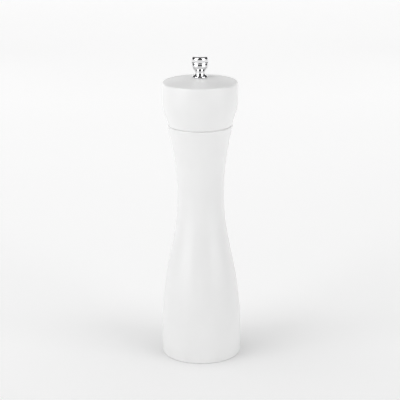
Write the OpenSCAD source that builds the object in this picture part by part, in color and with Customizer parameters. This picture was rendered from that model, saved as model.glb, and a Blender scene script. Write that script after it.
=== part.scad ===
// Pepper mill: a turned wooden barrel and head around a steel grinder.
// Millimetres, Z up. The origin is the middle of the foot, on the table.
// The head, knob, shaft and rotor turn together. The knob sets how coarse it grinds.

/* [Barrel] */
// Height from the table to the seam under the head
barrel_h = 165; // [140:1:200]
// Diameter of the foot at the table
foot_d = 55; // [45:0.5:66]
// Diameter of the belly, just above the foot
belly_d = 55.5; // [46:0.5:67]
// Height of the belly's widest point
belly_z = 11.5; // [8:0.5:25]
// Diameter of the waist
waist_d = 32.1; // [29:0.1:40]
// Height of the waist
waist_z = 117; // [95:1:125]
// Diameter of the neck at the seam
neck_d = 44.6; // [40:0.2:54]
// Flare of the neck at the seam, from the vertical
neck_flare = 14; // [0:1:30]
// Round of the barrel's edges
barrel_edge = 0.9; // [0.3:0.1:1.5]
// Diameter of the pepper chamber
chamber_d = 25; // [21:0.1:27]

/* [Head] */
// Height from the seam to the rim
head_h = 30; // [25:1:40]
// Diameter of the head at its widest
head_d = 51.6; // [43:0.2:62]
// Height of the head's straight upper wall
head_wall_h = 11; // [6:0.5:13]
// Diameter of the head at the seam
head_foot_d = 43.6; // [38:0.2:50]
// Flare of the head at the seam, from the vertical
head_flare = 18; // [0:1:30]
// Round of the head's lower edge
head_edge = 0.6; // [0.3:0.1:1]
// Height of the crown above the rim
crown_h = 3; // [1:0.1:5]
// Round of the rim
rim_round = 1.4; // [0.5:0.1:3]
// Diameter of the tenon that sits in the barrel
tenon_d = 30.4; // [25:0.1:35]
// Length of the tenon
tenon_h = 11; // [9:0.5:14]
// Wall of the tenon around the drive plate
tenon_wall = 3.2; // [2.5:0.1:4]

/* [Knob] */
// Height of the knob
knob_h = 14.2; // [12.5:0.1:18]
// Diameter over the bead
knob_d = 12.1; // [11.7:0.1:15]
// Diameter of the cap above the bead
knob_cap_d = 11.6; // [9.6:0.1:11.8]
// Height of the bead's middle
knob_bead_z = 9.9; // [9:0.1:11]
// Diameter of the neck
knob_neck_d = 6.7; // [5.8:0.1:9]
// Height of the neck's middle
knob_neck_z = 3.5; // [3.1:0.1:4.5]
// Diameter of the foot
knob_foot_d = 10.7; // [9:0.1:13]
// Length of thread inside the knob
thread_in_knob = 8.4; // [6:0.1:9]
// Thickness of the washer under the knob
knob_washer_t = 0.8; // [0.5:0.1:1.5]

/* [Shaft] */
// Side of the square shaft
shaft_w = 6; // [5:0.1:7.2]
// Diameter of the thread
thread_d = 5; // [4:0.1:5]
// Pitch of the thread
thread_pitch = 0.8; // [0.7:0.05:1]
// Height of the shaft's lower end above the table
shaft_end_z = 2.6; // [2.4:0.1:4]
// Thickness of the clips on the shaft
clip_t = 0.8; // [0.6:0.1:1]
// Thickness of the thrust washer
thrust_t = 1; // [0.6:0.1:1.5]
// Thickness of the washers at the ends of the spring
washer_t = 0.7; // [0.5:0.1:1]

/* [Grinder] */
// Outside diameter of the stator
stator_d = 22; // [19:0.1:26.4]
// Height of the stator
stator_h = 10; // [8:0.1:12]
// Wall of the stator at the bottom, behind the teeth
stator_wall = 1.7; // [1.2:0.1:2.2]
// Slope of the stator's cone, from the vertical
cone_angle = 11.9; // [8:0.1:13]
// Teeth on the rotor
rotor_teeth = 14; // [8:1:18]
// Teeth in the stator
stator_teeth = 18; // [10:1:24]
// Depth of the teeth
tooth_depth = 0.9; // [0.5:0.1:1.1]
// Slant of the rotor's teeth
tooth_slant = 20; // [0:1:30]
// Wall of the housing around the stator
skirt_wall = 2.5; // [1.5:0.1:4]
// Thickness of the housing's flange
flange_t = 2.5; // [2:0.1:4]
// Width of the flange outside the skirt and the chamber
flange_w = 6.3; // [5.6:0.1:7]
// Thickness of the retaining plate
plate_t = 0.8; // [0.5:0.1:1.5]
// Width of the ledge that holds the stator down
ledge_w = 1; // [0.5:0.1:1.5]
// Wall of the collar inside the chamber
collar_wall = 2.1; // [1.5:0.1:3]
// Height of the throat between the stator and the bridge
throat_h = 14.5; // [12:0.5:20]
// Thickness of the bridge
bridge_h = 3; // [2:0.1:4]
// Wall of the bridge's hub
hub_wall = 1.4; // [1:0.1:2]
// Width of the bridge's arms
arm_w = 2.4; // [1.5:0.1:4]

/* [Spring and bush] */
// Diameter of the spring's wire
wire_d = 1.1; // [0.8:0.1:1.3]
// Turns of the spring
spring_turns = 6; // [4:1:7]
// Wall of the guide bush at the shaft's corners
bush_wall = 1; // [0.8:0.1:1.5]
// Width of the guide bush's flange
bush_lip = 1; // [0.6:0.1:1.3]
// Length of the top bush
top_bush_h = 8; // [5:0.5:10]
// Wall of the top bush
top_bush_wall = 1.6; // [1:0.1:2]

/* [Fixings] */
// Thickness of the drive plate
drive_plate_t = 2; // [1.5:0.1:3]
// Shank of the drive plate screws
drive_screw_d = 2.4; // [2:0.1:2.6]
// Length of the drive plate screws
drive_screw_h = 10; // [7:0.5:12]
// Shank of the mechanism screws
screw_d = 3; // [2.5:0.1:3.4]
// Length of the mechanism screws under the head
screw_h = 13; // [8:0.5:16]
// Number of mechanism screws
screw_count = 3; // [2:1:4]
// Section of the tenon ring
ring_d = 2; // [1.5:0.1:2.2]

/* [Clearances] */
// Gap between the head and the barrel
seam_gap = 0.25; // [0.1:0.05:0.5]
// Gap around the tenon
tenon_gap = 0.3; // [0.2:0.05:0.6]
// Gap under the tenon
tenon_end_gap = 1.5; // [0.5:0.1:3]
// Gap around a part that turns
turn_gap = 0.05; // [0.02:0.01:0.1]
// Gap on each side of the square shaft
slide_gap = 0.1; // [0.05:0.01:0.2]
// Gap between the shaft's corners and the bore of the head
bore_gap = 0.75; // [0.5:0.05:1]
// Gap between the shaft's corners and the spring
spring_gap = 0.4; // [0.2:0.05:0.6]
// Gap between the thread and a hole it passes through
thread_gap = 0.2; // [0.1:0.05:0.4]
// Gap between the rotor and the stator
burr_gap = 0.3; // [0.2:0.05:0.5]
// Gap around a part that drops in
drop_gap = 0.2; // [0.1:0.05:0.4]
// Travel left for the shaft to come down
drop_travel = 1.5; // [1.3:0.1:2]

/* [Hidden] */
$fn = 96;
steps = 20;

// The grinder, from the table up.
clip_z = shaft_end_z + 0.75;
thrust_z = clip_z + clip_t + turn_gap;
rotor_z = thrust_z + thrust_t;
stator_z = rotor_z - 0.7;
stator_top_z = stator_z + stator_h;
ledge_t = 1;
recess_h = stator_top_z + ledge_t / 2;
flange_z = recess_h - flange_t;
plate_z = flange_z - plate_t;
bridge_z = stator_top_z + throat_h;
housing_top_z = bridge_z + bridge_h;
rotor_burr_h = stator_h - 1;
rotor_top_h = 2;
rotor_top_z = rotor_z + rotor_burr_h + rotor_top_h;
bush_flange_t = 1;
bush_flange_z = bridge_z - turn_gap - bush_flange_t;
bush_top_z = housing_top_z + 1.2;
stop_clip_z = bush_top_z + drop_travel;
spring_z = rotor_top_z + washer_t;
spring_top_z = bush_flange_z - washer_t;

// The head, from the seam up.
head_z = barrel_h + seam_gap;
rim_z = barrel_h + head_h;
crown_z = rim_z + crown_h;
tenon_z = head_z - tenon_h;
socket_z = tenon_z - tenon_end_gap;
knob_z = crown_z + turn_gap;
knob_washer_z = knob_z - turn_gap - knob_washer_t;
top_bush_z = knob_washer_z - turn_gap - top_bush_h;
square_top_z = top_bush_z - 2;
shaft_top_z = knob_z + thread_in_knob;

// Diameters that fit around the shaft.
shaft_corner_d = shaft_w * sqrt(2);
square_hole_w = shaft_w + 2 * slide_gap;
head_bore_d = shaft_corner_d + 2 * bore_gap;
thread_hole_d = thread_d + 2 * thread_gap;
top_bush_d = thread_hole_d + 2 * top_bush_wall;
journal_d = shaft_w - 0.4;
clip_root_d = journal_d - 1.4;
stop_root_d = shaft_w - 0.2;
spring_d = shaft_corner_d + 2 * spring_gap + wire_d;
seat_d = spring_d + wire_d + 0.2;
seat_hole_d = shaft_corner_d + 2 * slide_gap;
bush_d = square_hole_w * sqrt(2) + 2 * bush_wall;
bush_flange_d = bush_d + 2 * bush_lip;
bush_hole_d = bush_d + 2 * turn_gap;
hub_d = bush_hole_d + 2 * hub_wall;

// Diameters of the grinder, from the stator out.
cone_bottom_d = stator_d - 2 * stator_wall;
cone_slope = tan(cone_angle);
cone_top_d = cone_bottom_d - 2 * stator_h * cone_slope;
ledge_d = stator_d - 2 * ledge_w;
skirt_d = stator_d + 2 * skirt_wall;
collar_d = chamber_d - 2 * drop_gap;
throat_d = collar_d - 2 * collar_wall;
bridge_d = throat_d + collar_wall;
flange_root_d = max(skirt_d, chamber_d);
flange_d = flange_root_d + 2 * flange_w;
recess_d = flange_d + 2 * drop_gap;
screw_pcd = flange_root_d + flange_w;

// The tenon and its ring.
socket_d = tenon_d + 2 * tenon_gap;
drive_plate_d = tenon_d - 2 * tenon_wall;
ring_z = head_z - 0.45 * tenon_h;
ring_mean_d = socket_d - 2 * turn_gap - ring_d;

// ---- Outlines: lists of [radius, height] ----

// A cubic curve through the first and last of four points.
function curve(a, b, c, d) = [
    for (i = [0:steps])
        let (t = i / steps, s = 1 - t)
            s * s * s * a + 3 * s * s * t * b + 3 * s * t * t * c + t * t * t * d
];

// A round from one angle to another.
function round_arc(centre, r, from, to, n = 5) = [
    for (i = [0:n])
        let (angle = from + (to - from) * i / n) centre + r * [cos(angle), sin(angle)]
];

// The barrel's side, from the foot to the seam.
function barrel_side() = let (
    foot_r = foot_d / 2,
    belly = [belly_d / 2, belly_z],
    waist = [waist_d / 2, waist_z],
    neck = [neck_d / 2, barrel_h - barrel_edge],
    rise = waist_z - belly_z,
    lift = neck[1] - waist_z
) concat(
    round_arc([foot_r - barrel_edge, barrel_edge], barrel_edge, -90, 0),
    curve(belly, belly + [0, 0.53 * rise], waist - [0, 0.37 * rise], waist),
    curve(waist, waist + [0, lift / 3], neck - lift / 3 * [sin(neck_flare), cos(neck_flare)], neck),
    round_arc(neck - [barrel_edge, 0], barrel_edge, 10, 90)
);

// The head's side, from the seam to the rim.
function head_side() = let (
    low = [head_foot_d / 2, head_z + head_edge],
    high = [head_d / 2, rim_z - head_wall_h],
    rise = high[1] - low[1]
) concat(
    round_arc(low - [head_edge, 0], head_edge, -90, -10),
    curve(low, low + 0.38 * rise * [sin(head_flare), cos(head_flare)], high - [0, 0.42 * rise], high),
    round_arc([head_d / 2 - rim_round, rim_z - rim_round], rim_round, 0, 80)
);

// The crown, from the rim to the middle: an arc of a wide sphere.
function crown() = let (
    rim_r = head_d / 2 - rim_round,
    sphere_r = (pow(rim_r, 2) + pow(crown_h, 2)) / (2 * crown_h)
) round_arc([0, crown_z - sphere_r], sphere_r, 90 - asin(rim_r / sphere_r), 90, steps);

// The knob's side, from its foot to the top.
function knob_side() = let (
    foot_round = 0.4,
    bead_round = 0.45,
    cap_round = 0.8,
    cap_r = knob_cap_d / 2,
    foot = [knob_foot_d / 2 - 0.1, 2 * foot_round],
    neck = [knob_neck_d / 2, knob_neck_z],
    under_bead = [cap_r, knob_bead_z - bead_round],
    cap_edge = [cap_r - cap_round, knob_h - 1]
) concat(
    round_arc([knob_foot_d / 2 - foot_round, foot_round], foot_round, -90, 30),
    curve(foot, foot + [foot_round + neck[0] - foot[0], 0.6], neck - [0, 1.7], neck - [0, 0.6]),
    curve(neck + [0, 0.6], neck + [0.3, 1.7], under_bead - [0.3, 2.85], under_bead),
    round_arc([knob_d / 2 - bead_round, knob_bead_z], bead_round, -80, 80),
    [under_bead + [0, 2 * bead_round]],
    round_arc(cap_edge - [0, cap_round], cap_round, 0, 65),
    curve(cap_edge + [0.2, -0.05], [0.7 * cap_edge[0], knob_h - 0.25],
        [0.35 * cap_edge[0], knob_h], [0, knob_h])
);

// ---- Shared shapes ----

// An upright ring.
module ring(outer_d, inner_d, h) {
    difference() {
        cylinder(d = outer_d, h = h);
        translate([0, 0, -1]) cylinder(d = inner_d, h = h + 2);
    }
}

// A square bar around the axis.
module square_bar(w, h) {
    translate([-w / 2, -w / 2, 0]) cube([w, w, h]);
}

// Copies around the axis.
module around(count, r, start = 0) {
    for (i = [0:count - 1])
        rotate([0, 0, start + 360 * i / count]) translate([r, 0, 0]) children();
}

// A pan-head wood screw that points up. Its head sits below z = 0.
module pan_screw(d, h) {
    head_h = 0.6 * d;
    difference() {
        union() {
            translate([0, 0, -head_h]) cylinder(d1 = 1.4 * d, d2 = 1.8 * d, h = head_h / 2);
            translate([0, 0, -head_h / 2]) cylinder(d = 1.8 * d, h = head_h / 2);
            screw_shank(d, h);
        }
        cross_slot(d, head_h);
    }
}

// A screw's shank with its pointed end.
module screw_shank(d, h) {
    cylinder(d = d, h = h - d);
    translate([0, 0, h - d]) cylinder(d1 = d, d2 = 0.3, h = d);
}

// The cross in a screw's head.
module cross_slot(d, head_h) {
    for (turn = [0, 90])
        rotate([0, 0, turn]) translate([-0.55 * d, -0.12 * d, -head_h - 1])
            cube([1.1 * d, 0.24 * d, 1 + 0.5 * head_h]);
}

// A clip around the shaft, open on one side.
module open_clip(outer_d, inner_d, t) {
    difference() {
        ring(outer_d, inner_d, t);
        translate([0, -0.35 * inner_d, -1]) cube([outer_d, 0.7 * inner_d, t + 2]);
        around(3, 0.36 * outer_d, 60) translate([0, 0, -1]) cylinder(d = 0.14 * outer_d, h = t + 2);
    }
}

// Slanted grooves in a cone. A negative depth cuts them outwards, into a hollow cone.
module tooth_grooves(count, low_r, high_r, h, depth, slant) {
    lean = atan2(high_r - low_r, h);
    mouth = 2 * depth;
    for (i = [0:count - 1])
        rotate([0, 0, 360 * i / count]) translate([(low_r + high_r) / 2, 0, h / 2])
            rotate([0, lean, 0]) rotate([slant, 0, 0])
                translate([0, 0, -h]) linear_extrude(height = 2 * h)
                    polygon([[-depth, 0], [mouth, -1.5 * mouth], [mouth, 1.5 * mouth]]);
}

// ---- Wooden parts ----

module barrel() {
    color("whitesmoke") difference() {
        rotate_extrude() polygon(concat([[0, 0]], barrel_side(), [[0, barrel_h]]));
        translate([0, 0, -1]) cylinder(d = recess_d, h = recess_h + 1);
        cylinder(d = chamber_d, h = barrel_h);
        translate([0, 0, socket_z]) cylinder(d = socket_d, h = barrel_h);
        mechanism_screw_places() screw_shank(screw_d, screw_h);
    }
}

module head() {
    color("white") difference() {
        union() {
            rotate_extrude() polygon(concat([[0, head_z]], head_side(), crown()));
            translate([0, 0, tenon_z]) cylinder(d = tenon_d, h = tenon_h + 1);
        }
        translate([0, 0, tenon_z - 1]) cylinder(d = head_bore_d, h = top_bush_z - tenon_z + 1);
        translate([0, 0, tenon_z]) cylinder(d = top_bush_d, h = crown_z);
        translate([0, 0, tenon_z - 1]) cylinder(d = drive_plate_d + drop_gap, h = drive_plate_t + 1);
        tenon_groove();
        drive_plate_screw_places() drive_plate_screw();
    }
}

// The groove for the tenon ring.
module tenon_groove() {
    groove_h = ring_d + drop_gap;
    translate([0, 0, ring_z - groove_h / 2])
        ring(tenon_d + 2, ring_mean_d - ring_d - drop_gap, groove_h);
}

// ---- Knob ----

module knob() {
    bore_h = thread_in_knob + 1.2;
    color("silver") translate([0, 0, knob_z]) difference() {
        rotate_extrude() polygon(concat([[0, 0]], knob_side()));
        translate([0, 0, -1]) cylinder(d = thread_d + 2 * turn_gap, h = bore_h + 1);
    }
}

module knob_washer() {
    color("gainsboro") translate([0, 0, knob_washer_z])
        ring(top_bush_d - 2 * drop_gap, thread_hole_d, knob_washer_t);
}

// ---- Parts in the head ----

module top_bush() {
    color("ivory") translate([0, 0, top_bush_z]) ring(top_bush_d, thread_hole_d, top_bush_h);
}

module drive_plate() {
    color("lightgray") difference() {
        translate([0, 0, tenon_z]) cylinder(d = drive_plate_d, h = drive_plate_t);
        translate([0, 0, tenon_z - 1]) square_bar(square_hole_w, drive_plate_t + 2);
        drive_plate_screw_places() drive_plate_screw();
    }
}

module drive_plate_screw_places() {
    around(2, (head_bore_d + drive_plate_d) / 4) translate([0, 0, tenon_z]) children();
}

// A countersunk wood screw that points up, flush with z = 0.
module drive_plate_screw() {
    head_w = 1.85 * drive_screw_d;
    cylinder(d1 = head_w, d2 = drive_screw_d, h = (head_w - drive_screw_d) * 0.7);
    screw_shank(drive_screw_d, drive_screw_h);
}

module drive_plate_screws() {
    color("goldenrod") drive_plate_screw_places() difference() {
        drive_plate_screw();
        cross_slot(drive_screw_d, 0);
    }
}

module tenon_ring() {
    color("dimgray") translate([0, 0, ring_z])
        rotate_extrude() translate([ring_mean_d / 2, 0]) circle(d = ring_d, $fn = 32);
}

// ---- Shaft ----

// The thread, as rings of its real pitch and depth.
module thread(d, pitch, h) {
    depth = 0.3;
    tip = 0.6;
    count = floor((h - tip) / pitch) - 1;
    side = [for (i = [0:count - 1]) each [[d / 2, i * pitch], [d / 2 - depth, (i + 0.5) * pitch]]];
    rotate_extrude() polygon(concat([[0, 0]], side,
        [[d / 2, count * pitch], [d / 2, h - tip], [d / 2 - tip, h], [0, h]]));
}

module shaft() {
    color("silver") difference() {
        union() {
            translate([0, 0, shaft_end_z]) cylinder(d = journal_d, h = rotor_z - shaft_end_z + 1);
            translate([0, 0, rotor_z]) square_bar(shaft_w, square_top_z - rotor_z);
            translate([0, 0, square_top_z - 1])
                thread(thread_d, thread_pitch, shaft_top_z - square_top_z + 1);
        }
        translate([0, 0, clip_z]) ring(2 * journal_d, clip_root_d, clip_t);
        translate([0, 0, stop_clip_z]) ring(2 * shaft_corner_d, stop_root_d, clip_t);
    }
}

module shaft_clip() {
    color("dimgray") translate([0, 0, clip_z]) open_clip(2 * journal_d, clip_root_d, clip_t);
}

module stop_clip() {
    color("dimgray") translate([0, 0, stop_clip_z]) open_clip(2 * shaft_w, stop_root_d, clip_t);
}

module thrust_washer() {
    color("silver") translate([0, 0, thrust_z]) ring(2 * shaft_w, journal_d + 2 * turn_gap, thrust_t);
}

// ---- Grinder ----

module rotor() {
    low_r = cone_bottom_d / 2 - burr_gap - cone_slope * (rotor_z - stator_z);
    high_r = low_r - cone_slope * rotor_burr_h;
    color("slategray") translate([0, 0, rotor_z]) difference() {
        union() {
            cylinder(r1 = low_r, r2 = high_r, h = rotor_burr_h);
            translate([0, 0, rotor_burr_h]) cylinder(r1 = high_r, r2 = seat_d / 2, h = rotor_top_h);
        }
        translate([0, 0, -1]) square_bar(shaft_w, rotor_burr_h + rotor_top_h + 2);
        tooth_grooves(rotor_teeth, low_r, high_r, rotor_burr_h, 0.75 * tooth_depth, tooth_slant);
    }
}

// The stator's teeth lean the other way, so that they cross the rotor's like scissors.
module stator() {
    color("gray") translate([0, 0, stator_z]) difference() {
        cylinder(d = stator_d, h = stator_h);
        translate([0, 0, -1])
            cylinder(d1 = cone_bottom_d + 2 * cone_slope, d2 = cone_top_d - 2 * cone_slope, h = stator_h + 2);
        tooth_grooves(
            stator_teeth, cone_bottom_d / 2, cone_top_d / 2, stator_h, -tooth_depth, -tooth_slant / 2
        );
    }
}

module stator_housing() {
    color("gainsboro") difference() {
        union() {
            translate([0, 0, stator_z]) cylinder(d = skirt_d, h = recess_h - stator_z);
            translate([0, 0, flange_z]) cylinder(d = flange_d, h = flange_t);
            translate([0, 0, flange_z]) cylinder(d = collar_d, h = housing_top_z - flange_z);
        }
        translate([0, 0, stator_z - 1]) cylinder(d = stator_d, h = stator_h + 1);
        translate([0, 0, stator_z]) cylinder(d = ledge_d, h = stator_h + ledge_t);
        translate([0, 0, stator_top_z + ledge_t]) cylinder(d1 = ledge_d, d2 = throat_d, h = 2);
        translate([0, 0, stator_top_z + ledge_t + 2]) cylinder(d = throat_d, h = housing_top_z);
        translate([0, 0, bridge_z]) cylinder(d = bridge_d, h = bridge_h + 1);
        mechanism_screw_places() cylinder(d = screw_d, h = screw_h);
    }
}

module bridge() {
    rim_w = 1.1;
    color("silver") translate([0, 0, bridge_z]) difference() {
        union() {
            ring(bridge_d, bridge_d - 2 * rim_w, bridge_h);
            cylinder(d = hub_d, h = bridge_h);
            around(3, 0, 30) translate([0, -arm_w / 2, 0])
                cube([(bridge_d - rim_w) / 2, arm_w, bridge_h]);
        }
        translate([0, 0, -1]) cylinder(d = bush_hole_d, h = bridge_h + 2);
    }
}

module guide_bush() {
    color("ivory") translate([0, 0, bush_flange_z]) difference() {
        union() {
            cylinder(d = bush_flange_d, h = bush_flange_t);
            cylinder(d = bush_d, h = bush_top_z - bush_flange_z);
        }
        translate([0, 0, -1]) square_bar(square_hole_w, bush_top_z - bush_flange_z + 2);
    }
}

module spring_seat_top() {
    color("silver") translate([0, 0, spring_top_z]) ring(seat_d, seat_hole_d, washer_t);
}

module spring_seat_bottom() {
    color("silver") translate([0, 0, rotor_top_z]) ring(seat_d, seat_hole_d, washer_t);
}

// The spring: a wire along a helix, with its first and last turns closed up.
module spring() {
    per_turn = 20;
    sides = 8;
    count = spring_turns * per_turn;
    room = spring_top_z - spring_z - wire_d;
    function closed(t) = t < 0 ? 0 : t > 1 ? 1 : t;
    function height(i) = let (t = i / count, dead = 0.7 / spring_turns)
        wire_d / 2 + room * (dead * closed(t / dead) * 0.3 + dead * closed((t - 1 + dead) / dead) * 0.3
        + (1 - 0.6 * dead) * closed((t - dead) / (1 - 2 * dead)));
    points = [
        for (i = [0:count], j = [0:sides - 1])
            let (turn = 360 * i / per_turn, a = 360 * j / sides, r = (spring_d + wire_d * cos(a)) / 2)
                [r * cos(turn), r * sin(turn), height(i) + wire_d / 2 * sin(a)]
    ];
    faces = [
        for (i = [0:count - 1], j = [0:sides - 1])
            let (a = i * sides + j, b = i * sides + (j + 1) % sides)
                [a, b, b + sides, a + sides]
    ];
    start = [for (j = [sides - 1:-1:0]) j];
    end = [for (j = [0:sides - 1]) count * sides + j];
    color("silver") translate([0, 0, spring_z]) polyhedron(points, concat(faces, [start], [end]));
}

module retaining_plate() {
    color("silver") difference() {
        translate([0, 0, plate_z]) ring(flange_d - 2 * drop_gap, skirt_d + 2 * drop_gap, plate_t);
        mechanism_screw_places() cylinder(d = screw_d, h = screw_h);
    }
}

module mechanism_screws() {
    color("silver") mechanism_screw_places() pan_screw(screw_d, screw_h);
}

module mechanism_screw_places() {
    around(screw_count, screw_pcd / 2) translate([0, 0, plate_z]) children();
}

barrel();
head();
knob();
knob_washer();
top_bush();
drive_plate();
drive_plate_screws();
tenon_ring();
shaft();
stop_clip();
guide_bush();
spring();
spring_seat_top();
spring_seat_bottom();
bridge();
rotor();
stator();
stator_housing();
retaining_plate();
mechanism_screws();
thrust_washer();
shaft_clip();
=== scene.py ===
"""Pepper mill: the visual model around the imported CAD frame.

Metres, Z up, the middle of the foot at the origin. Each CAD node is replaced by a finer piece of
the same size. The barrel and head have the CAD's outlines, and the knob's cap and bowl are rounder.
"""

import math

import bmesh
import bpy
from mathutils import Matrix, Vector


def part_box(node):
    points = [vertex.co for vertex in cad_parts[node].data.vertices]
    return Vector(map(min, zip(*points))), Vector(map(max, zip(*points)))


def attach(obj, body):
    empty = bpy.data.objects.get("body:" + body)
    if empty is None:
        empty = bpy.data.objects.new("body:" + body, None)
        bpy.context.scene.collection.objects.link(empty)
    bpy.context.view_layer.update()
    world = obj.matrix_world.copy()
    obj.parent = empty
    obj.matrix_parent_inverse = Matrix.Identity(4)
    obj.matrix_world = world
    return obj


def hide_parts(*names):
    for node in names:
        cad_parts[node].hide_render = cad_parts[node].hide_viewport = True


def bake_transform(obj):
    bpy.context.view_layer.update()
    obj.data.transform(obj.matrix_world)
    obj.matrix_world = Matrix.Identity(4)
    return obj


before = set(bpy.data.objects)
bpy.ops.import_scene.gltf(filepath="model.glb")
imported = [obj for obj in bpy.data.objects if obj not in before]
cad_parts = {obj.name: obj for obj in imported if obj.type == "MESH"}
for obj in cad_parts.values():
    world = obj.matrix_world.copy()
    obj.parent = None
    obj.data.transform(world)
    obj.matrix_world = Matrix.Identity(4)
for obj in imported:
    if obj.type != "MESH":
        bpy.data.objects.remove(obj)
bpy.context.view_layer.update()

MM = 0.001
TAU = 2 * math.pi

# ---- Sizes that the frame's boxes don't give ----

FOOT_R = 27.5 * MM
BELLY_R = 27.75 * MM
BELLY_Z = 11.5 * MM
WAIST_R = 16.05 * MM
WAIST_Z = 117 * MM
NECK_R = 22.3 * MM
NECK_FLARE = math.radians(14)
BARREL_EDGE = 0.9 * MM
BARREL_LIP = 0.5 * MM
CHAMBER_R = 12.5 * MM
SOCKET_R = 15.5 * MM
SOCKET_DEPTH = 12.25 * MM
RECESS_R = 20 * MM
RECESS_DEPTH = 15 * MM

HEAD_FOOT_R = 21.8 * MM
HEAD_FLARE = math.radians(18)
HEAD_EDGE = 0.6 * MM
HEAD_WALL = 11 * MM
CROWN = 3 * MM
RIM_ROUND = 1.4 * MM
TENON_R = 15.2 * MM
TENON_LENGTH = 11 * MM
# The head's lower face is drawn this much below the CAD's, so that the seam is a fine line.
SEAM_DROP = 0.22 * MM
PLATE_RECESS_R = 12.1 * MM
HEAD_BORE_R = 4.99 * MM
TOP_BORE_R = 4.3 * MM
RING_GROOVE_R = 13.4 * MM
RING_GROOVE_HALF = 1.1 * MM

KNOB_FOOT_R = 5.35 * MM
KNOB_NECK_R = 3.35 * MM
KNOB_NECK_Z = 3.5 * MM
KNOB_CAP_R = 5.8 * MM
KNOB_BEAD_R = 6.05 * MM
KNOB_BEAD_Z = 9.9 * MM
KNOB_BEAD_ROUND = 0.45 * MM
KNOB_CAP_ROUND = 1.5 * MM
KNOB_CAP_DROP = 0.25 * MM
KNOB_BORE_R = 2.55 * MM
KNOB_BORE_DEPTH = 9.6 * MM

SHAFT_W = 6 * MM
SHAFT_CORNER = 0.35 * MM
JOURNAL_R = 2.8 * MM
CLIP_ROOT_R = 2.1 * MM
STOP_ROOT_R = 2.9 * MM
THREAD_R = 2.5 * MM
THREAD_PITCH = 0.8 * MM
THREAD_DEPTH = 0.3 * MM
SQUARE_HOLE_W = 6.2 * MM
THREAD_HOLE_R = 2.7 * MM
SEAT_HOLE_R = 4.34 * MM

BURR_HEIGHT = 9 * MM
CONE_BOTTOM_R = 9.3 * MM
CONE_SLOPE = math.tan(math.radians(11.9))
ROTOR_TEETH = 14
STATOR_TEETH = 18
TOOTH_DEPTH = 0.9 * MM

SKIRT_R = 13.5 * MM
LEDGE_R = 10 * MM
COLLAR_R = 12.3 * MM
THROAT_R = 10.2 * MM
FLANGE_Z = 12.5 * MM
HUB_R = 6.83 * MM
BUSH_HOLE_R = 5.43 * MM
BUSH_R = 5.38 * MM
ARM_W = 2.4 * MM

SPRING_R = 5.19 * MM
WIRE_R = 0.55 * MM
SPRING_TURNS = 6
SPRING_DEAD_TURNS = 0.85

SCREW_R = 1.5 * MM
SCREW_RING_R = 16.65 * MM
DRIVE_SCREW_R = 1.2 * MM
DRIVE_SCREW_RING_R = 8.5 * MM
# The share of a screw's radius that is left under its thread.
SCREW_CORE = 0.68

# ---- Outlines: lists of (radius, height) ----


def curve(a, b, c, d, steps=36):
    """Points along a cubic curve, from a to d."""
    points = []
    for i in range(steps + 1):
        t = i / steps
        s = 1 - t
        weights = (s * s * s, 3 * s * s * t, 3 * s * t * t, t * t * t)
        points.append(tuple(sum(w * p[k] for w, p in zip(weights, (a, b, c, d))) for k in (0, 1)))
    return points


def arc(centre, radius, start, end, steps=8):
    """Points along an arc, with its angles in degrees."""
    points = []
    for i in range(steps + 1):
        angle = math.radians(start + (end - start) * i / steps)
        points.append((centre[0] + radius * math.cos(angle), centre[1] + radius * math.sin(angle)))
    return points


def shifted(point, across=0.0, up=0.0):
    """A point moved in the outline's plane."""
    return (point[0] + across, point[1] + up)


def barrel_side(top):
    """The barrel's outside, from the foot to the seam."""
    belly = (BELLY_R, BELLY_Z)
    waist = (WAIST_R, WAIST_Z)
    neck = (NECK_R, top - BARREL_EDGE)
    rise = WAIST_Z - BELLY_Z
    belly_pull = 0.53 * rise
    waist_pull = 0.37 * rise
    neck_pull = (neck[1] - WAIST_Z) / 3
    above_belly = shifted(belly, up=belly_pull)
    below_waist = shifted(waist, up=-waist_pull)
    above_waist = shifted(waist, up=neck_pull)
    below_neck = shifted(neck, -neck_pull * math.sin(NECK_FLARE), -neck_pull * math.cos(NECK_FLARE))
    return (
        arc((FOOT_R - BARREL_EDGE, BARREL_EDGE), BARREL_EDGE, -90, 0)
        + curve(belly, above_belly, below_waist, waist, 64)
        + curve(waist, above_waist, below_neck, neck)[1:]
        + arc(shifted(neck, -BARREL_EDGE), BARREL_EDGE, 10, 90)
    )


def head_side(seam, rim):
    """The head's outside, from the seam to the start of the crown."""
    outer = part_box("head")[1].x
    low = (HEAD_FOOT_R, seam + HEAD_EDGE)
    high = (outer, rim - HEAD_WALL)
    rise = high[1] - low[1]
    low_pull = 0.38 * rise
    high_pull = 0.42 * rise
    above_low = shifted(low, low_pull * math.sin(HEAD_FLARE), low_pull * math.cos(HEAD_FLARE))
    return (
        arc(shifted(low, -HEAD_EDGE), HEAD_EDGE, -90, -10)
        + curve(low, above_low, shifted(high, up=-high_pull), high)
        + arc((outer - RIM_ROUND, rim - RIM_ROUND), RIM_ROUND, 0, 80, 10)
    )


def crown(rim):
    """The crown, from the rim to the bore for the top bush."""
    rim_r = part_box("head")[1].x - RIM_ROUND
    sphere_r = (rim_r**2 + CROWN**2) / (2 * CROWN)
    start = 90 - math.degrees(math.asin(rim_r / sphere_r))
    end = 90 - math.degrees(math.asin(TOP_BORE_R / sphere_r))
    return arc((0, rim + CROWN - sphere_r), sphere_r, start, end, 24)


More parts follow.
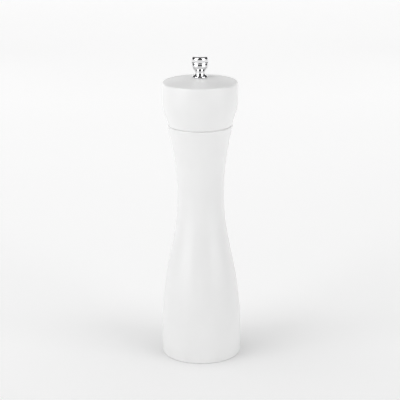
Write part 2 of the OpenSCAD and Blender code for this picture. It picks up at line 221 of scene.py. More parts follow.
def knob_bowl(bulge):
    """The knob's foot, neck and bowl, up to the bulge of the bowl."""
    foot_round = 0.4 * MM
    foot = (KNOB_FOOT_R - 0.1 * MM, 2 * foot_round)
    above_foot = (KNOB_NECK_R + foot_round, foot[1] + 0.6 * MM)
    neck = (KNOB_NECK_R, KNOB_NECK_Z)
    neck_low = shifted(neck, up=-0.6 * MM)
    neck_high = shifted(neck, up=0.2 * MM)
    return (
        arc((KNOB_FOOT_R - foot_round, foot_round), foot_round, -90, 30)
        + curve(foot, above_foot, shifted(neck, up=-1.7 * MM), neck_low, 20)
        + curve(neck_high, shifted(neck, 0.1 * MM, 1.7 * MM), shifted(bulge, up=-2.2 * MM), bulge, 28)
    )


def knob_cap(height):
    """The knob's cap: a slight taper, a round shoulder and a nearly flat crown."""
    centre = (KNOB_CAP_R - KNOB_CAP_ROUND, height - KNOB_CAP_DROP - KNOB_CAP_ROUND)
    shoulder = arc(centre, KNOB_CAP_ROUND, -8, 70, 12)
    edge = shoulder[-1]
    inside_edge = shifted(edge, -0.5 * MM, 0.18 * MM)
    return shoulder + curve(edge, inside_edge, (0.4 * edge[0], height), (0, height), 16)[1:]


def knob_side(height):
    """The knob's outside, from its foot to the top."""
    groove = (KNOB_CAP_R - 0.45 * MM, KNOB_BEAD_Z - KNOB_BEAD_ROUND)
    bulge = (KNOB_CAP_R - 0.15 * MM, KNOB_BEAD_Z - 1.7 * MM)
    below_groove = shifted(groove, 0.12 * MM, -0.3 * MM)
    return (
        knob_bowl(bulge)
        + curve(bulge, shifted(bulge, up=0.6 * MM), below_groove, groove, 10)[1:]
        + arc((KNOB_BEAD_R - KNOB_BEAD_ROUND, KNOB_BEAD_Z), KNOB_BEAD_ROUND, -80, 80)
        + [shifted(groove, 0.2 * MM, 2 * KNOB_BEAD_ROUND)]
        + knob_cap(height)
    )


# ---- Meshes ----

MERGE = 1e-6
ON_AXIS = 1e-7


def clean_up(bm, sharp_angle):
    """Merges doubles, turns faces outwards, and keeps the edges over an angle sharp."""
    bmesh.ops.remove_doubles(bm, verts=bm.verts, dist=MERGE)
    bmesh.ops.dissolve_degenerate(bm, edges=bm.edges, dist=MERGE)
    bmesh.ops.recalc_face_normals(bm, faces=bm.faces)
    for face in bm.faces:
        face.smooth = True
    limit = math.radians(sharp_angle)
    for edge in bm.edges:
        edge.smooth = not edge.is_manifold or edge.calc_face_angle(0) < limit


def make_object(name, bm, sharp_angle=35):
    """A cleaned and shaded object from a bmesh."""
    clean_up(bm, sharp_angle)
    mesh = bpy.data.meshes.new(name)
    bm.to_mesh(mesh)
    bm.free()
    obj = bpy.data.objects.new(name, mesh)
    bpy.context.scene.collection.objects.link(obj)
    return obj


def lathe(name, outline, segments=160, slots=None, sharp_angle=35):
    """A closed outline of (radius, height) turned round the axis. slots gives each band's material.

    A radius may be a function of the angle, for a square, a thread or teeth.
    """
    bm = bmesh.new()
    rings = []
    for radius, height in outline:
        if not callable(radius) and radius < ON_AXIS:
            rings.append([bm.verts.new((0, 0, height))])
            continue
        ring = []
        for i in range(segments):
            angle = TAU * i / segments
            reach = radius(angle) if callable(radius) else radius
            ring.append(bm.verts.new((reach * math.cos(angle), reach * math.sin(angle), height)))
        rings.append(ring)
    for k, low in enumerate(rings):
        high = rings[(k + 1) % len(rings)]
        for i in range(max(len(low), len(high))):
            j = (i + 1) % segments
            if len(low) == 1 and len(high) == 1:
                continue
            if len(low) == 1:
                corners = (low[0], high[j], high[i])
            elif len(high) == 1:
                corners = (low[i], low[j], high[0])
            else:
                corners = (low[i], low[j], high[j], high[i])
            face = bm.faces.new(corners)
            face.material_index = slots[k] if slots else 0
    return make_object(name, bm, sharp_angle)


def square(width, corner):
    """The radius of a rounded square at each angle."""

    def reach(angle):
        folded = abs((angle + math.pi / 4) % (math.pi / 2) - math.pi / 4)
        half = width / 2
        flat = half / math.cos(folded)
        if flat * math.sin(folded) <= half - corner:
            return flat
        along = (half - corner) * (math.cos(folded) + math.sin(folded))
        return along + math.sqrt(max(0.0, along**2 - 2 * (half - corner) ** 2 + corner**2))

    return reach


def ridge(phase, land=0.25):
    """A thread's profile: 1 on the crest and 0 at the root, over one turn of phase."""
    away = 2 * abs(phase % 1.0 - 0.5)
    return min(1.0, max(0.0, (1 - away) / (1 - land)))


def cornered(points, edge, steps=3):
    """A polygon outline with each corner rounded by a small edge radius."""
    rounded = []
    count = len(points)
    for i, here in enumerate(points):
        corner = Vector(here)
        before = Vector(points[i - 1]) - corner
        after = Vector(points[(i + 1) % count]) - corner
        cut = min(edge, before.length / 2.5, after.length / 2.5)
        start = corner + before.normalized() * cut
        end = corner + after.normalized() * cut
        for k in range(steps + 1):
            t = k / steps
            point = start * (1 - t) ** 2 + corner * 2 * t * (1 - t) + end * t**2
            rounded.append((point.x, point.y))
    return rounded


def turned_ring(name, node, inner_r, edge, segments=96):
    """A washer or sleeve with rounded edges, in place of a CAD node."""
    low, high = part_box(node)
    corners = [(inner_r, low.z), (high.x, low.z), (high.x, high.z), (inner_r, high.z)]
    return lathe(name, cornered(corners, edge), segments)


# ---- Materials ----


class Shader:
    """A material with a Principled shader, and short calls for the nodes around it."""

    def __init__(self, name):
        self.material = bpy.data.materials.new(name)
        self.material.use_nodes = True
        self.nodes = self.material.node_tree.nodes
        self.links = self.material.node_tree.links
        self.shader = self.nodes["Principled BSDF"]

    def put(self, **values):
        """Sets sockets on the shader, such as base_color or coat_weight."""
        for key, value in values.items():
            words = " ".join(word.capitalize() for word in key.split("_"))
            socket = self.shader.inputs[words.replace("Ior", "IOR")]
            socket.default_value = (*value, 1) if isinstance(value, tuple) else value
        return self

    def add(self, kind, **values):
        """Adds a node and sets its inputs by name or its attributes."""
        node = self.nodes.new(kind)
        for key, value in values.items():
            if hasattr(node, key):
                setattr(node, key, value)
            else:
                node.inputs[key].default_value = value
        return node

    def join(self, source, output, target, socket):
        """Links one node's output to another's input."""
        self.links.new(source.outputs[output], target.inputs[socket])

    def place(self, stretch=(1, 1, 1)):
        """Object coordinates, stretched."""
        coords = self.add("ShaderNodeTexCoord")
        mapping = self.add("ShaderNodeMapping")
        mapping.inputs["Scale"].default_value = stretch
        self.join(coords, "Object", mapping, "Vector")
        return mapping

    def noise(self, place, scale, detail=3.0, roughness=0.5):
        """A noise texture over a place."""
        node = self.add("ShaderNodeTexNoise", Scale=scale, Detail=detail, Roughness=roughness)
        self.join(place, "Vector", node, "Vector")
        return node

    def ramp(self, source, output, low, high, stops=(0.0, 1.0)):
        """A ramp between two colours."""
        node = self.add("ShaderNodeValToRGB")
        for element, stop, colour in zip(node.color_ramp.elements, stops, (low, high)):
            element.position = stop
            element.color = (*colour, 1)
        self.join(source, output, node, "Fac")
        return node

    def spread(self, source, output, low, high):
        """A value remapped from 0..1 to low..high."""
        node = self.add("ShaderNodeMapRange")
        node.inputs["To Min"].default_value = low
        node.inputs["To Max"].default_value = high
        self.join(source, output, node, "Value")
        return node

    def bump(self, source, output, strength, distance, under=None):
        """A bump, over another one if given."""
        node = self.add("ShaderNodeBump", Strength=strength, Distance=distance)
        self.join(source, output, node, "Height")
        if under:
            self.join(under, "Normal", node, "Normal")
        return node

    def colour(self, node, output="Color"):
        self.join(node, output, self.shader, "Base Color")

    def rough(self, node, output="Result"):
        self.join(node, output, self.shader, "Roughness")

    def normal(self, node):
        self.join(node, "Normal", self.shader, "Normal")


def lacquer():
    """Satin white lacquer on turned beech: fine orange peel, with the grain just telling through."""
    s = Shader("satin_lacquer").put(specular_ior_level=0.5, coat_weight=0.27, coat_roughness=0.18)
    fine = s.noise(s.place(), 900, 2.0)
    grain = s.noise(s.place((60, 60, 2.5)), 9, 4.0, 0.6)
    cloud = s.noise(s.place(), 35, 3.0)
    tint = s.ramp(cloud, "Fac", (0.870, 0.870, 0.868), (0.894, 0.894, 0.892), (0.3, 0.7))
    s.colour(tint)
    s.rough(s.spread(cloud, "Fac", 0.36, 0.46))
    under = s.bump(grain, "Fac", 0.06, 0.00006)
    s.normal(s.bump(fine, "Fac", 0.10, 0.00003, under))
    return s.material


def bare_wood():
    """Bare steamed beech, as it is left inside the bores."""
    s = Shader("bare_beech").put(specular_ior_level=0.3)
    grain = s.noise(s.place((170, 170, 9)), 6, 6.0, 0.65)
    fleck = s.noise(s.place((900, 900, 130)), 3, 2.0)
    base = s.ramp(grain, "Fac", (0.36, 0.20, 0.10), (0.62, 0.41, 0.24), (0.32, 0.68))
    dark = s.ramp(fleck, "Fac", (0.55, 0.42, 0.32), (1.0, 1.0, 1.0), (0.30, 0.42))
    mix = s.add("ShaderNodeMix", data_type="RGBA", blend_type="MULTIPLY")
    mix.inputs["Factor"].default_value = 0.6
    # The mix node has several sockets of one name, so its colour sockets go by number.
    colour_a, colour_b, colour_out = 6, 7, 2
    s.join(base, "Color", mix, colour_a)
    s.join(dark, "Color", mix, colour_b)
    s.colour(mix, colour_out)
    s.rough(s.spread(grain, "Fac", 0.55, 0.75))
    s.normal(s.bump(grain, "Fac", 0.35, 0.0002))
    return s.material


def metal(name, colour, low, high, scale=400.0, stretch=(1, 1, 1), depth=0.00001, strength=0.1):
    """A metal whose roughness and surface vary finely."""
    s = Shader(name).put(metallic=1.0)
    grain = s.noise(s.place(stretch), scale, 4.0, 0.6)
    dim = tuple(0.86 * c for c in colour)
    s.colour(s.ramp(grain, "Fac", dim, colour, (0.3, 0.7)))
    s.rough(s.spread(grain, "Fac", low, high))
    s.normal(s.bump(grain, "Fac", strength, depth))
    return s.material


def plastic(name, colour, rough, scale=700.0):
    """A moulded plastic or rubber with a faint texture."""
    s = Shader(name).put(subsurface_weight=0.0)
    grain = s.noise(s.place(), scale, 2.0)
    dim = tuple(0.93 * c for c in colour)
    s.colour(s.ramp(grain, "Fac", dim, colour, (0.3, 0.7)))
    s.rough(s.spread(grain, "Fac", rough - 0.05, rough + 0.05))
    s.normal(s.bump(grain, "Fac", 0.15, 0.00003))
    return s.material


def chrome():
    """Mirror chrome, with the faintest polishing marks."""
    s = Shader("mirror_chrome").put(metallic=1.0)
    marks = s.noise(s.place((1, 1, 12)), 260, 3.0, 0.7)
    s.colour(s.ramp(marks, "Fac", (0.80, 0.80, 0.81), (0.86, 0.86, 0.87), (0.3, 0.7)))
    s.rough(s.spread(marks, "Fac", 0.03, 0.07))
    return s.material


LACQUER = lacquer()
BEECH = bare_wood()
CHROME = chrome()
ZINC_STEEL = metal("zinc_plated_steel", (0.66, 0.67, 0.68), 0.24, 0.38, 700)
SHAFT_STEEL = metal("drawn_steel", (0.62, 0.62, 0.63), 0.22, 0.36, 300, (1, 1, 0.02))
BURR_STEEL = metal("hardened_burr_steel", (0.42, 0.42, 0.43), 0.32, 0.50, 900, depth=0.00003, strength=0.25)
SPRING_WIRE = metal("bright_spring_wire", (0.60, 0.60, 0.61), 0.20, 0.32, 500)
BLACK_STEEL = metal("black_spring_steel", (0.10, 0.10, 0.11), 0.35, 0.50, 600)
CAST_ALLOY = metal("cast_zinc_alloy", (0.58, 0.58, 0.59), 0.42, 0.60, 800, depth=0.00004, strength=0.35)
ALUMINIUM = metal("brushed_aluminium", (0.74, 0.75, 0.76), 0.28, 0.42, 500, (1, 8, 1))
BRASS = metal("turned_brass", (0.74, 0.56, 0.26), 0.22, 0.36, 600)
NYLON = plastic("natural_nylon", (0.80, 0.78, 0.72), 0.42)
SILICONE = plastic("grey_silicone", (0.45, 0.46, 0.47), 0.50)


def finish_with(obj, body, slot_name, *materials, replaced):
    """Gives a piece its materials and body, and hides the CAD nodes that it stands for. Its slot name is
    not used.
    """
    for material in materials:
        obj.data.materials.append(material)
    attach(obj, body)
    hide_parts(*replaced)


# ---- Turned pieces ----


def barrel():
    """The barrel: lacquered outside, bare wood in the recess, chamber and socket."""
    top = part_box("barrel")[1].z
    socket_z = top - SOCKET_DEPTH
    chamber_edge = 0.3 * MM
    outside = barrel_side(top)
    inside = [
        (SOCKET_R + BARREL_LIP, top),
        (SOCKET_R, top - BARREL_LIP),
        (SOCKET_R, socket_z),
        (CHAMBER_R + chamber_edge, socket_z),
        (CHAMBER_R, socket_z - chamber_edge),
        (CHAMBER_R, RECESS_DEPTH),
        (RECESS_R, RECESS_DEPTH),
        (RECESS_R, BARREL_LIP),
        (RECESS_R + BARREL_LIP, 0),
    ]
    outline = outside + inside
    slots = [0] * len(outside) + [1] * (len(inside) - 1) + [0]
    obj = lathe("barrel_body", outline, 192, slots, 30)
    finish_with(obj, "barrel", "white_lacquer", LACQUER, BEECH, replaced=("barrel",))


def head():
    """The head: lacquered outside, bare wood on the tenon and in the bore."""
    tenon_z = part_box("head")[0].z
    seam = tenon_z + TENON_LENGTH - SEAM_DROP
    knob_gap = 0.05 * MM
    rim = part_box("knob")[0].z - knob_gap - CROWN
    ring_low, ring_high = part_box("tenon_ring")
    ring_z = (ring_low.z + ring_high.z) / 2
    plate_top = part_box("drive_plate")[1].z
    bush_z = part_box("top_bush")[0].z
    lip = 0.4 * MM
    outside = head_side(seam, rim) + crown(rim)
    inside = [
        (TOP_BORE_R, bush_z),
        (HEAD_BORE_R, bush_z),
        (HEAD_BORE_R, plate_top),
        (PLATE_RECESS_R, plate_top),
        (PLATE_RECESS_R, tenon_z),
        (TENON_R - lip, tenon_z),
        (TENON_R, tenon_z + lip),
        (TENON_R, ring_z - RING_GROOVE_HALF),
        (RING_GROOVE_R, ring_z - RING_GROOVE_HALF),
        (RING_GROOVE_R, ring_z + RING_GROOVE_HALF),
        (TENON_R, ring_z + RING_GROOVE_HALF),
        (TENON_R, seam),
    ]
    outline = outside + inside
    slots = [0] * (len(outside) - 1) + [1] * len(inside) + [0]
    obj = lathe("head_body", outline, 192, slots, 30)
    finish_with(obj, "head", "white_lacquer", LACQUER, BEECH, replaced=("head",))


def knob():
    """The chrome knob, with its threaded bore."""
    low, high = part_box("knob")
    bore_mouth = 0.4 * MM
    side = [(r, low.z + z) for r, z in knob_side(high.z - low.z)]
    bore = [
        (0, low.z + KNOB_BORE_DEPTH),
        (KNOB_BORE_R, low.z + KNOB_BORE_DEPTH),
        (KNOB_BORE_R, low.z + bore_mouth),
        (KNOB_BORE_R + bore_mouth, low.z),
    ]
    obj = lathe("knob_body", side + bore, 128, None, 40)
    finish_with(obj, "knob", "chrome", CHROME, replaced=("knob",))


# ---- Plates, cut from a sheet ----


def circle(radius, steps=96, centre=(0, 0)):
    """A circle as a list of points."""
    return [
        (
            centre[0] + radius * math.cos(TAU * i / steps),
            centre[1] + radius * math.sin(TAU * i / steps),
        )
        for i in range(steps)
    ]


def sheet_part(name, loops, low, high, edge):
    """A flat piece from its outline and its holes, with rounded edges."""
    data = bpy.data.curves.new(name, "CURVE")
    data.dimensions = "2D"
    data.fill_mode = "BOTH"
    data.extrude = (high - low) / 2 - edge
    data.bevel_depth = edge
    data.bevel_resolution = 2
    data.offset = -edge
    for loop in loops:
        spline = data.splines.new("POLY")
        spline.points.add(len(loop) - 1)
        for point, (x, y) in zip(spline.points, loop):
            point.co = (x, y, 0, 1)
        spline.use_cyclic_u = True
    curve_obj = bpy.data.objects.new(name, data)
    bpy.context.scene.collection.objects.link(curve_obj)
    bpy.context.view_layer.update()
    depsgraph = bpy.context.evaluated_depsgraph_get()
    mesh = bpy.data.meshes.new_from_object(curve_obj.evaluated_get(depsgraph))
    bpy.data.objects.remove(curve_obj)
    bm = bmesh.new()
    bm.from_mesh(mesh)
    bpy.data.meshes.remove(mesh)
    bmesh.ops.translate(bm, verts=bm.verts, vec=(0, 0, (low + high) / 2))
    return make_object(name, bm, 35)


def clip_loops(outer_r, inner_r):
    """An open clip: its outline with the mouth towards +X, and its three holes."""
    mouth = 0.7 * inner_r
    hole_r = 0.14 * outer_r
    hole_ring_r = 0.72 * outer_r
    out_angle = math.asin(mouth / outer_r)
    in_angle = math.asin(mouth / inner_r)
    steps = 60
    outside = []
    inside = []
    for i in range(steps + 1):
        t = i / steps
        a = out_angle + (TAU - 2 * out_angle) * t
        b = in_angle + (TAU - 2 * in_angle) * (1 - t)
        outside.append((outer_r * math.cos(a), outer_r * math.sin(a)))
        inside.append((inner_r * math.cos(b), inner_r * math.sin(b)))
    holes = []
    for degrees in (60, 180, 300):
        a = math.radians(degrees)
        centre = (hole_ring_r * math.cos(a), hole_ring_r * math.sin(a))
        holes.append(circle(hole_r, 20, centre))
    return [outside + inside] + holes


def clip(name, node, body, inner_r):
    """A black spring-steel clip."""
    low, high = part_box(node)
    obj = sheet_part(name, clip_loops(high.y, inner_r), low.z, high.z, 0.1 * MM)
    finish_with(obj, body, "spring_steel", BLACK_STEEL, replaced=(node,))


def retaining_plate():
    """The steel ring under the flange."""
    low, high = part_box("retaining_plate")
    skirt_gap = 0.4 * MM
    loops = [circle(high.x), circle(SKIRT_R + skirt_gap)]
    for i in range(3):
        a = TAU * i / 3
        loops.append(circle(SCREW_R, 24, (SCREW_RING_R * math.cos(a), SCREW_RING_R * math.sin(a))))
    obj = sheet_part("retaining_ring", loops, low.z, high.z, 0.12 * MM)
    finish_with(obj, "barrel", "steel", ZINC_STEEL, replaced=("retaining_plate",))


def drive_plate():
    """The aluminium plate under the tenon, with its square hole."""
    low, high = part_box("drive_plate")
    half = SQUARE_HOLE_W / 2
    corners = [(half, half), (-half, half), (-half, -half), (half, -half)]
    loops = [circle(high.x), cornered(corners, 0.25 * MM, 5)]
    countersink_r = 1.9 * DRIVE_SCREW_R
    for side in (-1, 1):
        loops.append(circle(countersink_r, 32, (side * DRIVE_SCREW_RING_R, 0)))
    obj = sheet_part("drive_disc", loops, low.z, high.z, 0.15 * MM)
    finish_with(obj, "head", "aluminium", ALUMINIUM, replaced=("drive_plate",))


def bridge():
    """The three-armed spider that holds the bush."""
    low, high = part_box("bridge")
    rim_width = 1.1 * MM
    rim_r = high.x - rim_width
    loops = [circle(high.x), circle(BUSH_HOLE_R, 64)]
    for i in range(3):
        start = math.radians(30 + 120 * i)
        end = start + TAU / 3
        window = []
        for radius, ends in ((rim_r, (start, end)), (HUB_R, (end, start))):
            half_arm = math.asin(ARM_W / 2 / radius)
            turn = 1 if ends[1] > ends[0] else -1
            a = ends[0] + turn * half_arm
            b = ends[1] - turn * half_arm
            for k in range(17):
                angle = a + (b - a) * k / 16
                window.append((radius * math.cos(angle), radius * math.sin(angle)))
        loops.append(cornered(window, 0.35 * MM))
    obj = sheet_part("bridge_spider", loops, low.z, high.z, 0.2 * MM)
    finish_with(obj, "barrel", "steel", ZINC_STEEL, replaced=("bridge",))


# ---- Shaft ----


def threaded(major, depth, pitch, low, high, tip, steps=8):
    """Outline points of a helical thread between two heights, with a chamfered tip."""
    points = []
    count = int(round((high - low) / pitch * steps))
    for k in range(count + 1):
        height = low + (high - low) * k / count
        fade_in = min(1.0, (height - low) / pitch)
        cap = major - max(0.0, height - (high - tip))

        def reach(angle, height=height, fade_in=fade_in, cap=cap):
            crest = ridge(height / pitch - angle / TAU)
            return min(cap, major - depth + depth * crest * fade_in)

        points.append((reach, height))
    return points


def shaft():
    """The drawn steel shaft: a round journal, a square bar and a rolled M5 thread."""
    low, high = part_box("shaft")
    clip_low, clip_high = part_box("shaft_clip")
    stop_low, stop_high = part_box("stop_clip")
    rotor_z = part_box("rotor")[0].z
    square_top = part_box("top_bush")[0].z - 2 * MM
    bar = square(SHAFT_W, SHAFT_CORNER)
    shoulder = 0.4 * MM
    bar_end = square(SHAFT_W - 2 * shoulder, SHAFT_CORNER)
    chamfer = 0.3 * MM
    gap = 0.02 * MM
    outline = [
        (0, low.z),
        (JOURNAL_R - chamfer, low.z),
        (JOURNAL_R, low.z + chamfer),
        (JOURNAL_R, clip_low.z - gap),
        (CLIP_ROOT_R, clip_low.z - gap),
        (CLIP_ROOT_R, clip_high.z + gap),
        (JOURNAL_R, clip_high.z + gap),
        (JOURNAL_R, rotor_z),
        (bar, rotor_z),
        (bar, stop_low.z - gap),
        (STOP_ROOT_R, stop_low.z - gap),
        (STOP_ROOT_R, stop_high.z + gap),
        (bar, stop_high.z + gap),
        (bar, square_top - shoulder),
        (bar_end, square_top),
        (THREAD_R - THREAD_DEPTH, square_top),
    ]
    outline += threaded(THREAD_R, THREAD_DEPTH, THREAD_PITCH, square_top, high.z, 0.5 * MM)
    outline.append((0, high.z))
    obj = lathe("shaft_rod", outline, 96, None, 30)
    finish_with(obj, "shaft", "steel", SHAFT_STEEL, replaced=("shaft",))


# ---- Grinder ----


def tooth_cut(phase):
    """How deep a tooth's groove is over one tooth: a land, a slope and a steep cutting face."""
    land = 0.28
    face = 0.86
    if phase < land:
        return 0.0
    if phase < face:
        return (phase - land) / (face - land)
    return (1 - phase) / (1 - face)


def burr_rings(low, height, radius_at, teeth, twist, depth, steps=18):
    """Outline points of a cone with slanted teeth. A negative depth cuts inwards."""
    points = []
    for k in range(steps + 1):
        rise = height * k / steps

        def reach(angle, rise=rise):
            phase = (teeth * angle / TAU + twist * rise / height) % 1.0
            return radius_at(rise) + depth * tooth_cut(phase)

        points.append((reach, low + rise))
    return points


def rotor():
    """The toothed cone, on the shaft's square."""
    low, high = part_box("rotor")
    low_r = high.x
    bore = square(SHAFT_W + 0.02 * MM, SHAFT_CORNER)
    twist = -1.1
    depth = -0.75 * TOOTH_DEPTH
    teeth = burr_rings(
        low.z, BURR_HEIGHT, lambda rise: low_r - CONE_SLOPE * rise, ROTOR_TEETH, twist, depth
    )
    top_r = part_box("spring_seat_bottom")[1].x
    collar = [(top_r + 0.15 * MM, high.z - 0.2 * MM), (top_r - 0.1 * MM, high.z)]
    outline = teeth + collar + [(bore, high.z), (bore, low.z)]
    obj = lathe("rotor_burr", outline, ROTOR_TEETH * 20, None, 28)
    finish_with(obj, "shaft", "burr_steel", BURR_STEEL, replaced=("rotor",))


def stator():
    """The toothed ring around the rotor, with its teeth leaning the other way."""
    low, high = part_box("stator")
    height = high.z - low.z
    edge = 0.3 * MM
    twist = 0.55
    teeth = burr_rings(
        low.z, height, lambda rise: CONE_BOTTOM_R - CONE_SLOPE * rise, STATOR_TEETH, twist, TOOTH_DEPTH
    )
    outside = [
        (high.x - edge, high.z),
        (high.x, high.z - edge),
        (high.x, low.z + edge),
        (high.x - edge, low.z),
    ]
    obj = lathe("stator_burr", teeth + outside, STATOR_TEETH * 16, None, 28)
    finish_with(obj, "barrel", "burr_steel", BURR_STEEL, replaced=("stator",))


def cut_away(obj, cutter):
    """Cuts one closed mesh out of another."""
    modifier = obj.modifiers.new("cut", "BOOLEAN")
    modifier.operation = "DIFFERENCE"
    modifier.solver = "EXACT"
    modifier.object = cutter
    bpy.context.view_layer.update()
    depsgraph = bpy.context.evaluated_depsgraph_get()
    bm = bmesh.new()
    bm.from_object(obj, depsgraph)
    obj.modifiers.clear()
    clean_up(bm, 35)
    bm.to_mesh(obj.data)
    bm.free()
    bpy.data.objects.remove(cutter)


def peg(radius, low, high, x, y, steps=32):
    """A plain cylinder used as a cutter."""
    obj = lathe("cutter", [(0, low), (radius, low), (radius, high), (0, high)], steps)
    obj.data.transform(Matrix.Translation((x, y, 0)))
    return obj


def stator_housing():
    """The cast housing: a skirt round the stator, a flange and a collar up into the chamber."""
    low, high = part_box("stator_housing")
    stator_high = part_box("stator")[1]
    recess_z = RECESS_DEPTH
    flange_r = high.x
    seat_gap = 0.01 * MM
    fit_gap = 0.02 * MM
    pocket_r = stator_high.x + fit_gap
    pocket_z = stator_high.z + seat_gap
    bridge_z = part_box("bridge")[0].z - seat_gap
    bridge_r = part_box("bridge")[1].x + fit_gap
    ledge_top = stator_high.z + 0.7 * MM
    throat_z = ledge_top + 2 * MM
    round_edge = 0.35 * MM
    corners = [
        (pocket_r, low.z),
        (SKIRT_R, low.z),
        (SKIRT_R, FLANGE_Z),
        (flange_r, FLANGE_Z),
        (flange_r, recess_z),
        (COLLAR_R, recess_z),
        (COLLAR_R, high.z),
        (bridge_r, high.z),
        (bridge_r, bridge_z),
        (THROAT_R, bridge_z),
        (THROAT_R, throat_z),
        (LEDGE_R, ledge_top),
        (LEDGE_R, pocket_z),
        (pocket_r, pocket_z),
    ]
    obj = lathe("housing_casting", cornered(corners, round_edge), 128)
    past = 1 * MM
    for i in range(3):
        a = TAU * i / 3
        x = SCREW_RING_R * math.cos(a)
        y = SCREW_RING_R * math.sin(a)
        cut_away(obj, peg(SCREW_R, FLANGE_Z - past, recess_z + past, x, y, 24))
    finish_with(obj, "barrel", "cast_alloy", CAST_ALLOY, replaced=("stator_housing",))


def guide_bush():
    """The nylon bush in the bridge, with its square hole."""
    low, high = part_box("guide_bush")
    hole = square(SQUARE_HOLE_W, 0.3 * MM)
    mouth = square(SQUARE_HOLE_W + 0.5 * MM, 0.4 * MM)
    flange_r = high.x
    flange_top = low.z + 1 * MM
    edge = 0.2 * MM
    mouth_depth = 0.25 * MM
    outline = [
        (mouth, low.z),
        (flange_r - edge, low.z),
        (flange_r, low.z + edge),
        (flange_r, flange_top - edge),
        (flange_r - edge, flange_top),
        (BUSH_R, flange_top),
        (BUSH_R, high.z - edge),
        (BUSH_R - edge, high.z),
        (mouth, high.z),
        (hole, high.z - mouth_depth),
        (hole, low.z + mouth_depth),
    ]
    obj = lathe("bridge_bush", outline, 96, None, 30)
    finish_with(obj, "guide_bush", "nylon", NYLON, replaced=("guide_bush",))


def spring():
    """The compression spring, with its end turns closed and ground flat."""
    low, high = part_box("spring")
    per_turn = 40
    sides = 14
    count = SPRING_TURNS * per_turn
    dead = SPRING_DEAD_TURNS / SPRING_TURNS
    seat = 0.75 * WIRE_R
    room = high.z - low.z - 2 * seat
    bm = bmesh.new()
    rings = []
    for i in range(count + 1):
        t = i / count
        turn = TAU * i / per_turn
        # The wire rises slowly in the dead turns, and takes up the rest of the room between them.
        ends = 0.5 * (min(t, dead) + max(0.0, t - 1 + dead))
        middle = min(1.0, max(0.0, (t - dead) / (1 - 2 * dead)))
        height = low.z + seat + room * (ends + (1 - dead) * middle)
        ring = []
        for j in range(sides):
            a = TAU * j / sides
            radius = SPRING_R + WIRE_R * math.cos(a)
            z = min(high.z, max(low.z, height + WIRE_R * math.sin(a)))
            ring.append(bm.verts.new((radius * math.cos(turn), radius * math.sin(turn), z)))
        rings.append(ring)
    for first, second in zip(rings, rings[1:]):
        for j in range(sides):
            k = (j + 1) % sides
            bm.faces.new((first[j], first[k], second[k], second[j]))
    bm.faces.new(rings[0])
    bm.faces.new(rings[-1])
    obj = make_object("grinder_spring", bm, 50)
    obj.data.materials.append(SPRING_WIRE)
    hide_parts("spring")
    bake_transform(obj)


# ---- Washers, bushes and ring ----


def washers():
    """The turned washers, seats and the top bush."""
    for name, node, body, slot_name, material, inner_r, edge in (
        ("knob_shim", "knob_washer", "knob_washer", "steel", ZINC_STEEL, THREAD_HOLE_R, 0.12 * MM),
        ("top_sleeve", "top_bush", "head", "nylon", NYLON, THREAD_HOLE_R, 0.25 * MM),
        ("upper_seat", "spring_seat_top", "guide_bush", "steel", ZINC_STEEL, SEAT_HOLE_R, 0.12 * MM),
        ("lower_seat", "spring_seat_bottom", "shaft", "steel", ZINC_STEEL, SEAT_HOLE_R, 0.12 * MM),
        ("thrust_ring", "thrust_washer", "shaft", "brass", BRASS, JOURNAL_R + 0.05 * MM, 0.15 * MM),
    ):
        obj = turned_ring(name, node, inner_r, edge)
        finish_with(obj, body, slot_name, material, replaced=(node,))


def tenon_ring():
    """The soft ring in the tenon's groove, with a fine mould line."""
    low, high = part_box("tenon_ring")
    half = (high.z - low.z) / 2
    centre = (high.x - half, low.z + half)
    outline = arc(centre, half, 4, 356, 30)
    outline.append((high.x - 0.01 * MM, centre[1]))
    obj = lathe("seal_ring", outline, 160, None, 60)
    finish_with(obj, "head", "silicone", SILICONE, replaced=("tenon_ring",))


# ---- Screws ----


def wood_thread(radius, core, low, high, pitch, point):
    """Outline points of a wood screw's thread, which runs out to a point."""
    points = []
    count = int(round((high - low) / pitch * 8))
    for k in range(count):
        height = low + (high - low) * k / count
        taper = min(1.0, (high - height) / point)
        fade_in = min(1.0, (height - low) / pitch)

        def reach(angle, height=height, taper=taper, fade_in=fade_in):
            crest = max(0.0, 1 - 2.6 * abs((height / pitch - angle / TAU) % 1.0 - 0.5))
            return taper * (core + (radius - core) * crest * fade_in)

        points.append((reach, height))
    points.append((0, high))
    return points


def cut_cross(obj, width, length, low, high):
    """Cuts a cross recess with tapered ends, up from low to high."""
    for turn in (0, math.pi / 2):
        bm = bmesh.new()
        rings = []
        for z, scale in ((low, 1.0), (high, 0.55)):
            ring = []
            for x, y in ((1, 1), (-1, 1), (-1, -1), (1, -1)):
                point = Vector((x * length / 2 * scale, y * width / 2, z))
                ring.append(bm.verts.new(Matrix.Rotation(turn, 3, "Z") @ point))
            rings.append(ring)
        bm.faces.new(rings[0])
        bm.faces.new(rings[1])
        for i in range(4):
            j = (i + 1) % 4
            bm.faces.new((rings[0][i], rings[0][j], rings[1][j], rings[1][i]))
        cut_away(obj, make_object("cutter", bm, 30))


def copies(obj, name, places):
    """One mesh with a copy of obj's mesh at each place, in place of obj."""
    bm = bmesh.new()
    for place in places:
        start = len(bm.verts)
        bm.from_mesh(obj.data)
        bm.verts.ensure_lookup_table()
        bmesh.ops.translate(bm, verts=bm.verts[start:], vec=place)
    bpy.data.objects.remove(obj)
    return make_object(name, bm, 35)


